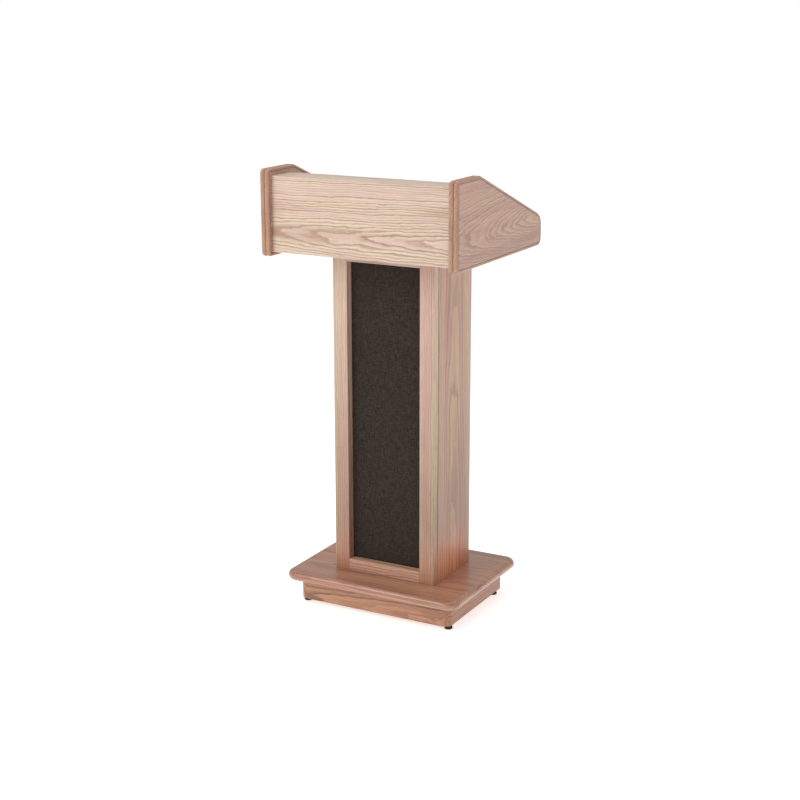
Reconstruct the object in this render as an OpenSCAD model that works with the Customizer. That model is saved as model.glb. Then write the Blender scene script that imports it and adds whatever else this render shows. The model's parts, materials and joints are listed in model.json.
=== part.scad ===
// Presentation lectern with a loudspeaker column.
// +Z is up. The audience is towards -Y and the presenter stands towards +Y.
// The origin lies on the floor, under the centre of the head's outline.

/* [Overall] */
// Height of the level top edge of the head
overall_h = 1195; // [1185:5:1240]
// Width across the two side panels of the head
head_w = 563; // [550:1:590]
// Depth of the side panels of the head
head_d = 508; // [496:1:520]

/* [Head] */
// Height of the side panels
side_h = 226; // [220:1:232]
// Thickness of the side panels
side_t = 25; // [24:1:27]
// Length of the level stretch from the front edge to the virtual peak
flat_top = 129; // [124:1:134]
// Slope of the reading surface in degrees
slope = 21; // [19:0.5:22]
// Depth of the solid edge moulding around each side panel
band_d = 9; // [8:0.5:10]
// Drop from the side panels' top edge to the level ledge
ledge_drop = 18; // [16:1:22]
// Depth of the level ledge in front of the reading surface
ledge_d = 87; // [84:1:90]
// Distance of the front panel behind the side panels' front edge
panel_recess = 16; // [14:1:18]
// Height of the head box above the side panels' bottom edge
bottom_step = 11; // [9:1:13]
// Thickness of the veneered boards
board_t = 19; // [18:0.5:20]

/* [Column] */
// Width of the column
col_w = 302; // [300:1:308]
// Depth of the column
col_d = 215; // [212:1:222]
// Distance of the column behind the head's front edge
col_setback = 138; // [134:1:142]
// Width of the front stiles beside the grille
stile_w = 43; // [40:1:46]
// Thickness of the front and rear frames
frame_t = 24; // [22:1:26]
// Height of the bottom rail below the grille
rail_h = 31; // [28:1:36]
// Width of the rear stiles beside the door
rear_stile_w = 30; // [29:1:31]

/* [Base] */
// Height of the top of the base plate
plate_top = 94; // [90:1:98]
// Width of the base plate
plate_w = 522; // [514:1:530]
// Depth of the base plate
plate_d = 402; // [394:1:410]
// Thickness of the base plate, which has a full bullnose
plate_t = 25; // [24:1:26]
// Plan radius of the base plate's corners
plate_r = 36; // [32:1:42]
// Overhang of the base plate past the plinth
plinth_in = 32; // [28:1:34]
// Gap between the plinth and the floor
plinth_gap = 12; // [11:1:14]

/* [Rear door] */
// Width of the gap around the door
door_gap = 2; // [2:0.5:3]
// Height of the opening for the amplifier
amp_h = 120; // [118:1:124]

/* [Hidden] */
$fn = 72;

OAK = [0.80, 0.66, 0.56];
OAK_DARK = [0.70, 0.54, 0.45];
PINE = [0.85, 0.74, 0.55];
BLACK = [0.08, 0.08, 0.08];
STEEL = [0.62, 0.63, 0.65];
BRASS = [0.78, 0.62, 0.32];

// Head
side_z = overall_h - side_h;
front_y = -head_d / 2;
rear_y = head_d / 2;
peak_y = front_y + flat_top;
rear_top_z = overall_h - (rear_y - peak_y) * tan(slope);
box_z = side_z + bottom_step;
ledge_z = overall_h - ledge_drop;
panel_y = front_y + panel_recess;
back_y = rear_y - panel_recess;
ridge_y = panel_y + ledge_d;
inner_w = head_w - 2 * side_t;
quirk = 1.2;
bead_rise = 3;
bead_r = (pow(side_t / 4, 2) + pow(bead_rise, 2)) / (2 * bead_rise);
SIDE_OUTLINE = [[front_y, side_z, 12], [rear_y, side_z, 20], [rear_y, rear_top_z, 38],
    [peak_y, overall_h, 26], [front_y, overall_h, 12]];
hairline = 0.02;
fold = board_t * tan(slope / 2);
stop_w = 16;
stop_h = 17;
stop_in = 10;
stop_housing = 2;

// Column
col_y = front_y + col_setback;
col_back = col_y + col_d;
side_x = col_w / 2 - board_t;
grille_x = col_w / 2 - stile_w;
grille_y = col_y + frame_t;
grille_top = box_z - 31;
sill_z = plate_top + rail_h;
rear_in_y = col_back - frame_t;
door_x = col_w / 2 - rear_stile_w;

// Base
plate_cy = -11;
plate_z = plate_top - plate_t;
plinth_w = plate_w - 2 * plinth_in;
plinth_d = plate_d - 2 * plinth_in;
plinth_r = 22;
plinth_t = 25;
block = 38;
glide_x = plinth_w / 2 - plinth_t / 2;
glide_front_y = plate_cy - plinth_d / 2 + 24;
glide_rear_y = plate_cy + plinth_d / 2 - 38;
glide_r = 11;
stem_r = 4;
insert_r = 5.5;
insert_l = 20;
run_gap = 0.05;
pilot_r = 2.2;
screw_r = pilot_r - run_gap;

// Loudspeakers
cloth_t = 1;
cloth_lap = 19;
mesh_x = grille_x + cloth_lap;
mesh_z0 = sill_z - cloth_lap;
mesh_z1 = grille_top + cloth_lap;
mesh_y = grille_y + cloth_t;
mesh_frame_t = 11;
mesh_frame_w = 26;
mesh_bar_gap = 0.1;
baffle_y = grille_y + 14;
baffle_t = 16;
baffle_back = baffle_y + baffle_t;
shelf_z = 330;
driver_n = 4;
driver_r = 54;
driver_z0 = shelf_z + board_t + driver_r + 3;
cutout_r = 47.5;
cone_r = 38;
basket_d = 32;
magnet_r = 31;
magnet_t = 15;
screw_pcd_r = 51;
lead_r = 2.2;
lead_x = -105;
lead_y = baffle_y + basket_d + magnet_t / 2;
stud_x = grille_x + 6;

// Amplifier
faceplate_t = 3;
amp_lap = 8;
amp_top = grille_top - 21;
amp_z = amp_top - amp_h;
mesh_bar_z = amp_z - 10;
driver_pitch = (mesh_bar_z - 2 - driver_r - driver_z0) / (driver_n - 1);
amp_w = 220;
amp_d = 94;
sheet_t = 1.5;
face_y = col_back + faceplate_t;
knob_z = amp_z + 82;
socket_z = amp_z + 32;
KNOB_X = [-84, -38, 8];
JACK_X = [-84, -50];
rocker_x = 62;
pilot_x = 98;
inlet_x = 62;
rocker_tilt = 8;
spindle_r = 3;
jack_r = 5;

// Rear door
mid_rail_z = amp_z - 28;
door_z0 = sill_z + door_gap;
door_z1 = mid_rail_z - door_gap;
door_half = door_x - door_gap;
door_y = col_back - board_t;
hinge_x = -door_x + door_gap / 2;
knuckle_r = 3.2;
knuckle_play = 0.3;
hinge_y = col_back + knuckle_r + 0.4;
hinge_pin_r = 2;
leaf_t = 1.5;
leaf_w = 17;
hinge_h = 60;
hinge_third = hinge_h / 6;
HINGE_Z = [door_z0 + 90, door_z1 - 90];
pull_x = door_half - 24;
pull_z = 470;
lock_z = 560;
lock_r = 9.5;
plug_r = 6;
cam_l = 33;
cam_t = 3;
cam_y = rear_in_y - 1 - cam_t;
catch_x = 80;

// Corner geometry of a convex outline, whose points are [x, y, corner radius]
function unit(v) = v / norm(v);
function xy(p) = [p.x, p.y];
function before(c, i) = unit(xy(c[(i + len(c) - 1) % len(c)]) - xy(c[i]));
function after(c, i) = unit(xy(c[(i + 1) % len(c)]) - xy(c[i]));
function half_angle(c, i) = acos(before(c, i) * after(c, i)) / 2;
function middle(c, i) = unit(before(c, i) + after(c, i));
function centre(c, i) = xy(c[i]) + middle(c, i) * c[i].z / sin(half_angle(c, i));
function shrunk(c, i, d) = xy(c[i]) + middle(c, i) * d / sin(half_angle(c, i));
function tangent(c, i, way, d) = shrunk(c, i, d) + way * (c[i].z - d) / tan(half_angle(c, i));
function rect(w, d, r, cy = 0) = [[-w / 2, cy - d / 2, r], [w / 2, cy - d / 2, r],
    [w / 2, cy + d / 2, r], [-w / 2, cy + d / 2, r]];

// An outline with round corners, set in by d
module outline(c, d = 0) {
    polygon([for (i = [0 : len(c) - 1]) each
        [tangent(c, i, before(c, i), d), tangent(c, i, after(c, i), d)]]);
    for (i = [0 : len(c) - 1]) translate(centre(c, i)) circle(c[i].z - d);
}

// Runs a cross-section around an outline: its x is the outward distance from the outline.
// A joint above 0 leaves that much open between each straight strip and the bends.
module edge_run(c, joint = 0) {
    for (i = [0 : len(c) - 1]) {
        way = -before(c, i);
        start = tangent(c, i, after(c, i), 0);
        j = (i + 1) % len(c);
        end = tangent(c, j, before(c, j), 0);
        leg = after(c, i);
        translate(centre(c, i)) rotate([0, 0, atan2(way.y, way.x) - 90])
            rotate_extrude(angle = 180 - 2 * half_angle(c, i)) translate([c[i].z, 0]) children();
        translate(end - leg * joint) rotate([0, 0, atan2(leg.y, leg.x) - 90]) rotate([90, 0, 0])
            linear_extrude(norm(end - start) - 2 * joint) children();
    }
}

// Turns a drawing of the Y-Z plane, extruded along X and centred on it
module across(w) {
    translate([-w / 2, 0, 0]) rotate([90, 0, 90]) linear_extrude(w) children();
}

// A box given by its low and high corners
module block_between(a, b) {
    translate(a) cube(b - a);
}

// A cylinder along Y from y0 to y1
module rod_y(r, y0, y1, x = 0, z = 0) {
    translate([x, y0, z]) rotate([-90, 0, 0]) cylinder(h = y1 - y0, r = r);
}

// Puts the children at each driver's axis, with +Z pointing to the rear
module at_drivers() {
    for (k = [0 : driver_n - 1]) translate([0, baffle_y, driver_z0 + k * driver_pitch])
        rotate([-90, 0, 0]) children();
}

// Puts the children at the four screws around a driver
module at_driver_screws() {
    at_drivers() for (a = [45 : 90 : 315])
        rotate([0, 0, a]) translate([screw_pcd_r, 0, 0]) children();
}

// Puts the children at the faceplate's four corner screws, +Z pointing to the front
module at_face_screws() {
    for (x = [-1, 1], z = [amp_z - 1, amp_top + 1]) translate([x * (door_x + 4), face_y, z])
        rotate([90, 0, 0]) children();
}

// Wood screws: under the base plate, and up into the head
module at_base_screws() {
    for (x = [-1, 1], y = [-40, 40]) translate([x * (side_x - 10), y - 8, plate_z]) children();
}
module at_head_screws() {
    for (x = [-1, 1], y = [-40, 40]) translate([x * (side_x - 10), y - 8, box_z - board_t]) children();
}

module wood_screw(l) {
    cylinder(h = 3, r1 = 4.5, r2 = screw_r);
    cylinder(h = l, r = screw_r);
}

// ---- Base ----
module base_plate() color(OAK_DARK) difference() {
    translate([0, 0, plate_z]) {
        linear_extrude(plate_t) outline(rect(plate_w, plate_d, plate_r, plate_cy), plate_t / 2);
        edge_run(rect(plate_w, plate_d, plate_r, plate_cy)) translate([-plate_t / 2, plate_t / 2])
            intersection() {
                circle(plate_t / 2);
                translate([0, -plate_t / 2]) square(plate_t);
            }
    }
    at_base_screws() wood_screw(40);
}

module plinth_side(turn, l, w) {
    translate([0, plate_cy, plinth_gap]) linear_extrude(plate_z - plinth_gap) intersection() {
        outline(rect(plinth_w, plinth_d, plinth_r));
        rotate(turn) polygon([[-l / 2, -w / 2], [l / 2, -w / 2],
            [l / 2 - plinth_t, -w / 2 + plinth_t], [-l / 2 + plinth_t, -w / 2 + plinth_t]]);
    }
}
module insert_holes() {
    for (x = [-1, 1], y = [glide_front_y, glide_rear_y])
        translate([x * glide_x, y, 0]) cylinder(h = plinth_gap + insert_l + 4, r = insert_r);
}
module plinth_front() color(OAK_DARK) plinth_side(0, plinth_w, plinth_d);
module plinth_rear() color(OAK_DARK) plinth_side(180, plinth_w, plinth_d);
module plinth_left() color(OAK_DARK) difference() {
    plinth_side(-90, plinth_d, plinth_w);
    insert_holes();
}
module plinth_right() color(OAK_DARK) difference() {
    plinth_side(90, plinth_d, plinth_w);
    insert_holes();
}

// Softwood blocks and cleats glued into the inner corners
module glue_blocks() color(PINE) {
    inner_x = plinth_w / 2 - plinth_t;
    inner_y = plinth_d / 2 - plinth_t;
    for (x = [-1, 1], y = [-1, 1])
        translate([x * (inner_x - block / 2) - block / 2,
            plate_cy + y * (inner_y - block / 2) - block / 2, plinth_gap + 2])
            cube([block, block, plate_z - plinth_gap - 2]);
    difference() {
        for (x = [-1, 1], z = [plate_top, box_z - board_t])
            translate([x * (side_x - board_t / 2) - board_t / 2, -58, z]) cube([board_t, 100, board_t]);
        at_base_screws() cylinder(h = 60, r = pilot_r);
        at_head_screws() cylinder(h = 60, r = pilot_r);
    }
    for (x = [-1, 1]) translate([x * (inner_w / 2 - board_t / 2), ridge_y, ledge_z])
        rotate([-slope, 0, 0]) translate([-board_t / 2, 12, -2 * board_t])
            cube([board_t, 330, board_t]);
}

module glide_inserts() color(BRASS) for (x = [-1, 1], y = [glide_front_y, glide_rear_y])
    translate([x * glide_x, y, plinth_gap]) difference() {
        cylinder(h = insert_l, r = insert_r);
        translate([0, 0, -1]) cylinder(h = insert_l + 2, r = stem_r + run_gap);
    }

// Levelling glide: a pad moulded onto a threaded stem
module glide(x, y) color(BLACK) translate([x, y, 0]) {
    rotate_extrude() polygon([[0, 0], [glide_r - 1, 0], [glide_r, 1], [glide_r, 5.5],
        [glide_r - 2.5, 8], [7, 8], [7, plinth_gap - 0.5], [stem_r, plinth_gap - 0.5],
        [stem_r, plinth_gap + insert_l - 1], [0, plinth_gap + insert_l - 1]]);
}
module glide_front_left() glide(-glide_x, glide_front_y);
module glide_front_right() glide(glide_x, glide_front_y);
module glide_rear_left() glide(-glide_x, glide_rear_y);
module glide_rear_right() glide(glide_x, glide_rear_y);

// ---- Column ----
module column_side(x) color(OAK) translate([x, grille_y, plate_top])
    cube([board_t, rear_in_y - grille_y, box_z - plate_top]);
module column_side_left() column_side(-col_w / 2);
module column_side_right() column_side(side_x);

// Front stile with an eased outer corner and a groove where it meets the side panel
module stile_front_right() color(OAK) translate([0, 0, plate_top]) linear_extrude(box_z - plate_top)
    translate([grille_x, col_y]) polygon([[0, 0], [stile_w - 2, 0], [stile_w, 2],
        [stile_w, frame_t - 3], [stile_w - 2, frame_t], [0, frame_t]]);
module stile_front_left() mirror([1, 0, 0]) stile_front_right();

module front_rails() color(OAK) for (z = [[plate_top, sill_z], [grille_top, box_z]])
    block_between([-grille_x, col_y, z[0]], [grille_x, grille_y, z[1]]);

module hinge_mortises(x0, x1) {
    for (z = HINGE_Z) translate([x0, col_back - leaf_w, z - hinge_h / 2])
        cube([x1 - x0, leaf_w + 1, hinge_h]);
}
module rear_stiles() color(OAK) difference() {
    for (x = [-col_w / 2, door_x])
        translate([x, rear_in_y, plate_top]) cube([rear_stile_w, frame_t, box_z - plate_top]);
    hinge_mortises(-door_x - leaf_t, -door_x + 1);
    at_face_screws() cylinder(h = 16, r = 1.8);
}

module rear_rails() color(OAK)
    for (z = [[plate_top, sill_z], [mid_rail_z, amp_z], [amp_top, box_z]])
        block_between([-door_x, rear_in_y, z[0]], [door_x, col_back, z[1]]);

module column_shelf() color(OAK)
    block_between([-side_x, baffle_back, shelf_z], [side_x, rear_in_y, shelf_z + board_t]);

// ---- Grille and loudspeakers ----
module grille_cloth() color([0.2, 0.17, 0.14])
    block_between([-mesh_x, grille_y, mesh_z0], [mesh_x, mesh_y, mesh_z1]);

// Stapled frame: its cross bars stand a hair clear of its uprights
module grille_frame() color(BLACK) difference() {
    union() {
        for (x = [-mesh_x, mesh_x - mesh_frame_w])
            translate([x, mesh_y, mesh_z0]) cube([mesh_frame_w, mesh_frame_t, mesh_z1 - mesh_z0]);
        for (z = [mesh_z0, shelf_z - 8, mesh_bar_z, mesh_z1 - mesh_frame_w])
            translate([-mesh_x + mesh_frame_w + mesh_bar_gap, mesh_y, z])
                cube([2 * (mesh_x - mesh_frame_w - mesh_bar_gap), mesh_frame_t, mesh_frame_w]);
    }
    at_studs() rod_y(2.5, mesh_y + 4, mesh_y + mesh_frame_t + 1);
}

module at_studs() {
    for (x = [-stud_x, stud_x], z = [sill_z + 60, shelf_z + 215, grille_top - 60])
        translate([x, 0, z]) children();
}
// Push-in studs that hold the grille frame on the baffle
module grille_studs() color(BLACK) at_studs() {
    rod_y(2.5, mesh_y + 4, baffle_y);
    rod_y(3, baffle_y, baffle_y + 12);
}

module speaker_baffle() color([0.12, 0.12, 0.12]) difference() {
    block_between([-side_x, baffle_y, plate_top], [side_x, baffle_back, box_z]);
    at_drivers() translate([0, 0, -1]) cylinder(h = baffle_t + 2, r = cutout_r);
    at_driver_screws() cylinder(h = 12, r = 1.6);
    at_studs() rod_y(3.1, baffle_y - 1, baffle_y + 13);
}

// Pressed steel basket with four windows in its side
module driver_frames() color([0.25, 0.25, 0.27]) at_drivers() difference() {
    rotate_extrude() polygon([[43, -3], [driver_r, -3], [driver_r, 0], [46.5, 0], [46.5, 5],
        [28, basket_d - 1], [28, basket_d], [12, basket_d], [12, basket_d - 2],
        [26.5, basket_d - 2], [44, 4.5], [43, 3]]);
    for (a = [0 : 90 : 270]) rotate([0, 0, a]) translate([30, -11, 10]) cube([20, 22, 14]);
    for (a = [45 : 90 : 315]) rotate([0, 0, a]) translate([screw_pcd_r, 0, -4])
        cylinder(h = 6, r = 1.8);
}
module driver_cones() color([0.18, 0.18, 0.18]) at_drivers() rotate_extrude() {
    polygon([[cone_r, 0], [cone_r - 1, 0], [13, 20], [0, 17], [0, 18], [12, 22], [12, 26],
        [13, 26], [14, 20.5]]);
}
module driver_surrounds() color(BLACK) at_drivers() rotate_extrude() translate([cone_r + 2.5, 0])
    intersection() {
        difference() {
            circle(2.5);
            circle(1.7);
        }
        translate([-3, -3]) square([6, 3]);
    }
module driver_magnets() color([0.3, 0.3, 0.31]) at_drivers() {
    translate([0, 0, basket_d]) cylinder(h = magnet_t, r = magnet_r);
    translate([0, 0, basket_d + magnet_t]) cylinder(h = 4, r = magnet_r - 3);
}

// Screws of the drivers and of the amplifier's faceplate
module panel_screws() color(STEEL) {
    at_driver_screws() {
        translate([0, 0, -5]) cylinder(h = 2, r = 2.9);
        translate([0, 0, -3]) cylinder(h = 14, r = 1.6);
    }
    at_face_screws() {
        translate([0, 0, -2]) cylinder(h = 2, r = 3.4);
        cylinder(h = 15, r = 1.8);
    }
}

// Two-core lead from the amplifier down past the four drivers
module speaker_lead() color([0.1, 0.1, 0.1]) {
    top = amp_z + 20;
    translate([lead_x, lead_y, driver_z0]) cylinder(h = top - driver_z0, r = lead_r);
    rod_y(lead_r, lead_y, col_back - amp_d, lead_x, top);
    translate([lead_x, lead_y, top]) sphere(lead_r);
    for (k = [0 : driver_n - 1]) translate([lead_x, lead_y, driver_z0 + k * driver_pitch]) {
        rotate([0, 90, 0]) cylinder(h = -lead_x - magnet_r - 0.1, r = lead_r);
        sphere(lead_r);
    }
}

// ---- Rear door ----
module rear_door() color(OAK) difference() {
    block_between([-door_half, door_y, door_z0], [door_half, col_back, door_z1]);
    hinge_mortises(-door_half - 1, -door_half + leaf_t);
    rod_y(lock_r, door_y - 1, col_back + 1, pull_x, lock_z);
    rod_y(2.2, door_y - 1, col_back + 1, pull_x, pull_z);
}

// Turned knob held by a screw from inside the door
module door_pull() color(OAK_DARK) {
    translate([pull_x, col_back, pull_z]) rotate([-90, 0, 0]) rotate_extrude()
        polygon([[0, 0], [9, 0], [9, 3], [6, 6], [6, 12], [13, 17], [14, 20], [13, 23],
            [9, 25], [0, 25.5]]);
    rod_y(2.2, door_y - 2, col_back, pull_x, pull_z);
    rod_y(5, door_y - 3.5, door_y, pull_x, pull_z);
}

// One hinge leaf: knuckles at the given heights on a plate that reaches to them
module hinge_leaf(x, knuckles, bore_r) {
    difference() {
        union() {
            translate([x, col_back - leaf_w, -hinge_h / 2]) cube([leaf_t, leaf_w - 0.4, hinge_h]);
            for (k = knuckles) {
                translate([x, col_back - 1, k[0]]) cube([leaf_t, hinge_y - col_back + 1, k[1] - k[0]]);
                translate([hinge_x, hinge_y, k[0]]) cylinder(h = k[1] - k[0], r = knuckle_r);
            }
        }
        translate([hinge_x, hinge_y, -hinge_h]) cylinder(h = 2 * hinge_h, r = bore_r);
    }
}
module hinge_frame_leaves() color(BRASS) {
    outer = [[-hinge_h / 2, -hinge_third], [hinge_third, hinge_h / 2]];
    for (z = HINGE_Z) translate([0, 0, z]) hinge_leaf(-door_x - leaf_t, outer, hinge_pin_r);
}
module hinge_door_leaves() color(BRASS) {
    inner = [[knuckle_play - hinge_third, hinge_third - knuckle_play]];
    for (z = HINGE_Z) translate([0, 0, z]) hinge_leaf(-door_half, inner, hinge_pin_r + run_gap);
}
module hinge_pins() color(STEEL) for (z = HINGE_Z) translate([hinge_x, hinge_y, z - hinge_h / 2]) {
    cylinder(h = hinge_h, r = hinge_pin_r);
    translate([0, 0, hinge_h]) cylinder(h = 2, r = knuckle_r);
    translate([0, 0, -2]) cylinder(h = 2, r = knuckle_r);
}

module lock_body() color(STEEL) difference() {
    union() {
        rod_y(lock_r, door_y - 3, col_back, pull_x, lock_z);
        rod_y(lock_r + 2.5, col_back, col_back + 2, pull_x, lock_z);
    }
    rod_y(plug_r + run_gap, door_y - 4, col_back + 3, pull_x, lock_z);
}
// Lock plug with its key slot and the cam on its inner end
module lock_cam() color(STEEL) translate([pull_x, 0, lock_z]) {
    difference() {
        rod_y(plug_r, cam_y, col_back + 2.2);
        translate([-0.8, col_back - 12, -4]) cube([1.6, 20, 8]);
    }
    rod_y(8, cam_y, cam_y + cam_t);
    translate([-7, cam_y, 0]) cube([14, cam_t, cam_l - 7]);
    rod_y(7, cam_y, cam_y + cam_t, 0, cam_l - 7);
}

module magnetic_catch() color([0.25, 0.18, 0.12])
    block_between([catch_x - 22, rear_in_y - 18, shelf_z - 14], [catch_x + 22, door_y - 2.3, shelf_z]);
module catch_strike() color(STEEL)
    block_between([catch_x - 18, door_y - 2, shelf_z - 14], [catch_x + 18, door_y, shelf_z - 1]);

// ---- Amplifier ----
module amp_chassis() color([0.55, 0.56, 0.57]) difference() {
    block_between([-amp_w / 2, col_back - amp_d, amp_z + 4], [amp_w / 2, col_back, amp_top - 4]);
    block_between([-amp_w / 2 + sheet_t, col_back - amp_d + sheet_t, amp_z + 4 + sheet_t],
        [amp_w / 2 - sheet_t, col_back + 1, amp_top - 4 - sheet_t]);
    for (x = [-75 : 15 : 75]) translate([x, col_back - 70, amp_top - 7]) cube([5, 40, 6]);
}

module amp_faceplate() color(BLACK) difference() {
    block_between([-door_x - amp_lap, col_back, amp_z - amp_lap],
        [door_x + amp_lap, face_y, amp_top + amp_lap]);
    at_face_screws() translate([0, 0, -1]) cylinder(h = 6, r = 1.8);
    for (x = KNOB_X) rod_y(4.5, col_back - 1, face_y + 1, x, knob_z);
    for (x = JACK_X) rod_y(jack_r, col_back - 1, face_y + 1, x, socket_z);
    rod_y(3, col_back - 1, face_y + 1, pilot_x, knob_z);
    translate([rocker_x - 8, col_back - 1, knob_z - 14]) cube([16, faceplate_t + 2, 28]);
    translate([inlet_x - 14, col_back - 1, socket_z - 10]) cube([28, faceplate_t + 2, 20]);
}

// Circuit board with its potentiometers, capacitors and heat sink
module amp_board() color([0.1, 0.3, 0.18]) {
    block_between([-100, col_back - 85, amp_z + 12], [100, col_back - 32, amp_z + 13.6]);
    for (x = KNOB_X) difference() {
        union() {
            rod_y(8, col_back - 12, col_back - 3, x, knob_z);
            rod_y(4.4, col_back - 3, face_y, x, knob_z);
        }
        rod_y(spindle_r + run_gap, col_back - 9, face_y + 1, x, knob_z);
    }
    for (x = [-80, -55]) translate([x, col_back - 60, amp_z + 13.6]) cylinder(h = 30, r = 9);
    for (y = [0 : 6 : 24]) translate([20, col_back - 80 + y, amp_z + 13.6]) cube([60, 2, 40]);
}

// Knob with a skirt and a raised pointer, on its spindle
module knob(x) color([0.12, 0.12, 0.13]) translate([x, face_y, knob_z]) rotate([-90, 0, 0]) {
    translate([0, 0, 0.8]) cylinder(h = 3, r = 12);
    translate([0, 0, 3.8]) cylinder(h = 12, r1 = 10, r2 = 9);
    translate([-0.9, -9.7, 3.8]) cube([1.8, 9.7, 12.6]);
    translate([0, 0, -faceplate_t - 8]) cylinder(h = faceplate_t + 20, r = spindle_r);
}
module knob_mic() knob(KNOB_X[0]);
module knob_aux() knob(KNOB_X[1]);
module knob_tone() knob(KNOB_X[2]);

module rocker_housing() color(BLACK) translate([rocker_x, face_y, knob_z]) difference() {
    union() {
        block_between([-8, -16, -14], [8, 0, 14]);
        block_between([-10, 0, -16], [10, 2, 16]);
    }
    block_between([-6.4, -12, -12.8], [6.4, 3, 12.8]);
    translate([-7.2, -2, 0]) rotate([0, 90, 0]) cylinder(h = 14.4, r = 1.55);
}
// Rocker with its two faces in a shallow V, shown switched off
module power_rocker() color([0.05, 0.05, 0.05]) translate([rocker_x, face_y - 2, knob_z])
    rotate([-rocker_tilt, 0, 0]) {
        across(12) polygon([[-6, -7], [5.5, -11], [7, -10.5], [4, 0], [7, 10.5], [5.5, 11], [-6, 7]]);
        translate([-7, 0, 0]) rotate([0, 90, 0]) cylinder(h = 14, r = 1.5);
    }

module pilot_lens() color([0.8, 0.1, 0.05]) translate([pilot_x, face_y, knob_z]) rotate([-90, 0, 0])
    rotate_extrude() polygon([[0, -8], [3, -8], [3, 0], [4.5, 0], [4.5, 1], [3.4, 2.6],
        [1.8, 3.4], [0, 3.6]]);

module jack_sockets() color(STEEL) for (x = JACK_X) translate([x, 0, socket_z]) difference() {
    union() {
        rod_y(jack_r - run_gap, col_back - 26, face_y + 3);
        rod_y(7.5, face_y, face_y + 2);
    }
    rod_y(3.25, col_back - 24, face_y + 4);
}

// Three-pin mains inlet
module mains_inlet() color(BLACK) translate([inlet_x, face_y, socket_z]) {
    difference() {
        union() {
            block_between([-14, -20, -10], [14, 0, 10]);
            block_between([-24, 0, -12], [24, 2.5, 12]);
        }
        block_between([-12, -16, -8], [12, 3, 8]);
    }
    for (p = [[-7, -2], [0, 2], [7, -2]])
        block_between([p.x - 1, -16, p.y - 2], [p.x + 1, -3, p.y + 2]);
}

// ---- Head ----
module side_core(x) color(OAK) translate([x, 0, 0]) rotate([90, 0, 90])
    linear_extrude(side_t) outline(SIDE_OUTLINE, band_d);
module head_side_left() side_core(-head_w / 2);
module head_side_right() side_core(head_w / 2 - side_t);

// Moulding with a double bead and a quirk on each side
module edge_section() translate([-band_d, 0]) {
    translate([0, quirk]) square([quirk, side_t - 2 * quirk]);
    intersection() {
        translate([quirk, 0]) square([band_d, side_t]);
        union() {
            translate([quirk, 0]) square([band_d - bead_rise - quirk, side_t]);
            for (k = [1, 3]) translate([band_d - bead_r, k * side_t / 4]) circle(bead_r);
        }
    }
}
module side_edge(x) color(OAK_DARK) translate([x, 0, 0]) rotate([90, 0, 90])
    edge_run(SIDE_OUTLINE, hairline) edge_section();
module head_edge_left() side_edge(-head_w / 2);
module head_edge_right() side_edge(head_w / 2 - side_t);

// Boards between the side panels, drawn in the Y-Z plane
function surface_z(y) = ledge_z - (y - ridge_y) * tan(slope);
module head_front_panel() color(OAK) across(inner_w) polygon([[panel_y, box_z],
    [panel_y + board_t, box_z], [panel_y + board_t, ledge_z - board_t], [panel_y, ledge_z]]);
module head_ledge() color(OAK) across(inner_w) polygon([[panel_y, ledge_z],
    [panel_y + board_t, ledge_z - board_t], [ridge_y - fold, ledge_z - board_t], [ridge_y, ledge_z]]);
module at_surface_edge() translate([0, back_y, surface_z(back_y)]) rotate([-slope, 0, 0]) children();
module reading_surface() color(OAK) difference() {
    across(inner_w) polygon([[ridge_y, ledge_z], [ridge_y - fold, ledge_z - board_t],
        [back_y, surface_z(back_y) - board_t / cos(slope)], [back_y, surface_z(back_y)]]);
    at_surface_edge() translate([-head_w / 2, -stop_w - stop_in, -stop_housing])
        cube([head_w, stop_w, 2 * stop_housing]);
}
module head_rear_board() color(OAK) across(inner_w) polygon([[back_y - board_t, box_z],
    [back_y, box_z], [back_y, surface_z(back_y) - board_t / cos(slope)],
    [back_y - board_t, surface_z(back_y - board_t) - board_t / cos(slope)]]);
// Book stop, let into a shallow housing in the reading surface
module book_stop() color(OAK_DARK) at_surface_edge() across(inner_w) translate([-stop_w - stop_in, 0]) {
    translate([0, -stop_housing]) square([stop_w, stop_housing + stop_h - stop_w / 2]);
    translate([stop_w / 2, stop_h - stop_w / 2]) circle(stop_w / 2);
}
module head_bottom_panel() color(OAK) difference() {
    block_between([-inner_w / 2, panel_y + board_t, box_z],
        [inner_w / 2, back_y - board_t, box_z + board_t]);
    at_head_screws() cylinder(h = 36, r = pilot_r);
}

module assembly_screws() color(STEEL) {
    at_base_screws() wood_screw(40);
    at_head_screws() {
        cylinder(h = 34, r = screw_r);
        translate([0, 0, -2.5]) cylinder(h = 2.5, r = 4.5);
    }
}

base_plate();
plinth_front();
plinth_rear();
plinth_left();
plinth_right();
glue_blocks();
glide_inserts();
glide_front_left();
glide_front_right();
glide_rear_left();
glide_rear_right();
column_side_left();
column_side_right();
stile_front_left();
stile_front_right();
rear_stiles();
front_rails();
rear_rails();
column_shelf();
grille_frame();
grille_cloth();
grille_studs();
speaker_baffle();
driver_frames();
driver_cones();
driver_surrounds();
driver_magnets();
panel_screws();
speaker_lead();
rear_door();
door_pull();
hinge_frame_leaves();
hinge_door_leaves();
hinge_pins();
lock_body();
lock_cam();
magnetic_catch();
catch_strike();
amp_chassis();
amp_faceplate();
amp_board();
knob_mic();
knob_aux();
knob_tone();
rocker_housing();
power_rocker();
pilot_lens();
jack_sockets();
mains_inlet();
head_side_left();
head_side_right();
head_edge_left();
head_edge_right();
head_front_panel();
head_ledge();
reading_surface();
book_stop();
head_rear_board();
head_bottom_panel();
assembly_screws();
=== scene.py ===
"""Looks of the presentation lectern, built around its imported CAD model."""

import json
import math

import bmesh
import bpy
import numpy as np
from mathutils import Matrix, Vector


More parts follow.
